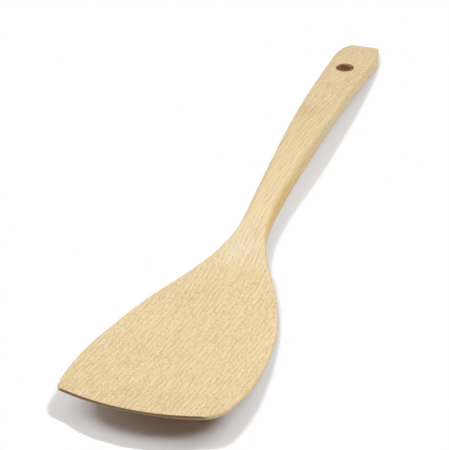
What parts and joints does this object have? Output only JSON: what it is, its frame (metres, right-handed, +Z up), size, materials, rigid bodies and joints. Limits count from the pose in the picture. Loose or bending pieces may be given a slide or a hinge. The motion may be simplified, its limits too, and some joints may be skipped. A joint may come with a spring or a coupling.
{
  "type": "spatula",
  "caption": "Wooden wok spatula with a broad, slightly upturned blade, a slim neck and an arched handle with a hanging hole near its end.",
  "frame": {"origin": "under the middle of the part's length and width, on the surface that the belly of the blade and the end of the handle rest on", "axes": "+Z up from the table, +Y from the blade's front edge to the handle's sawn end, +X to the right when looking from the blade along the handle"},
  "size_m": [0.0658, 0.32, 0.0195],
  "materials": {
    "beech": "sanded smooth, bare wood with a low sheen"
  },
  "bodies": {
    "root": {"spatula_body": "beech"}
  },
  "joints": []
}
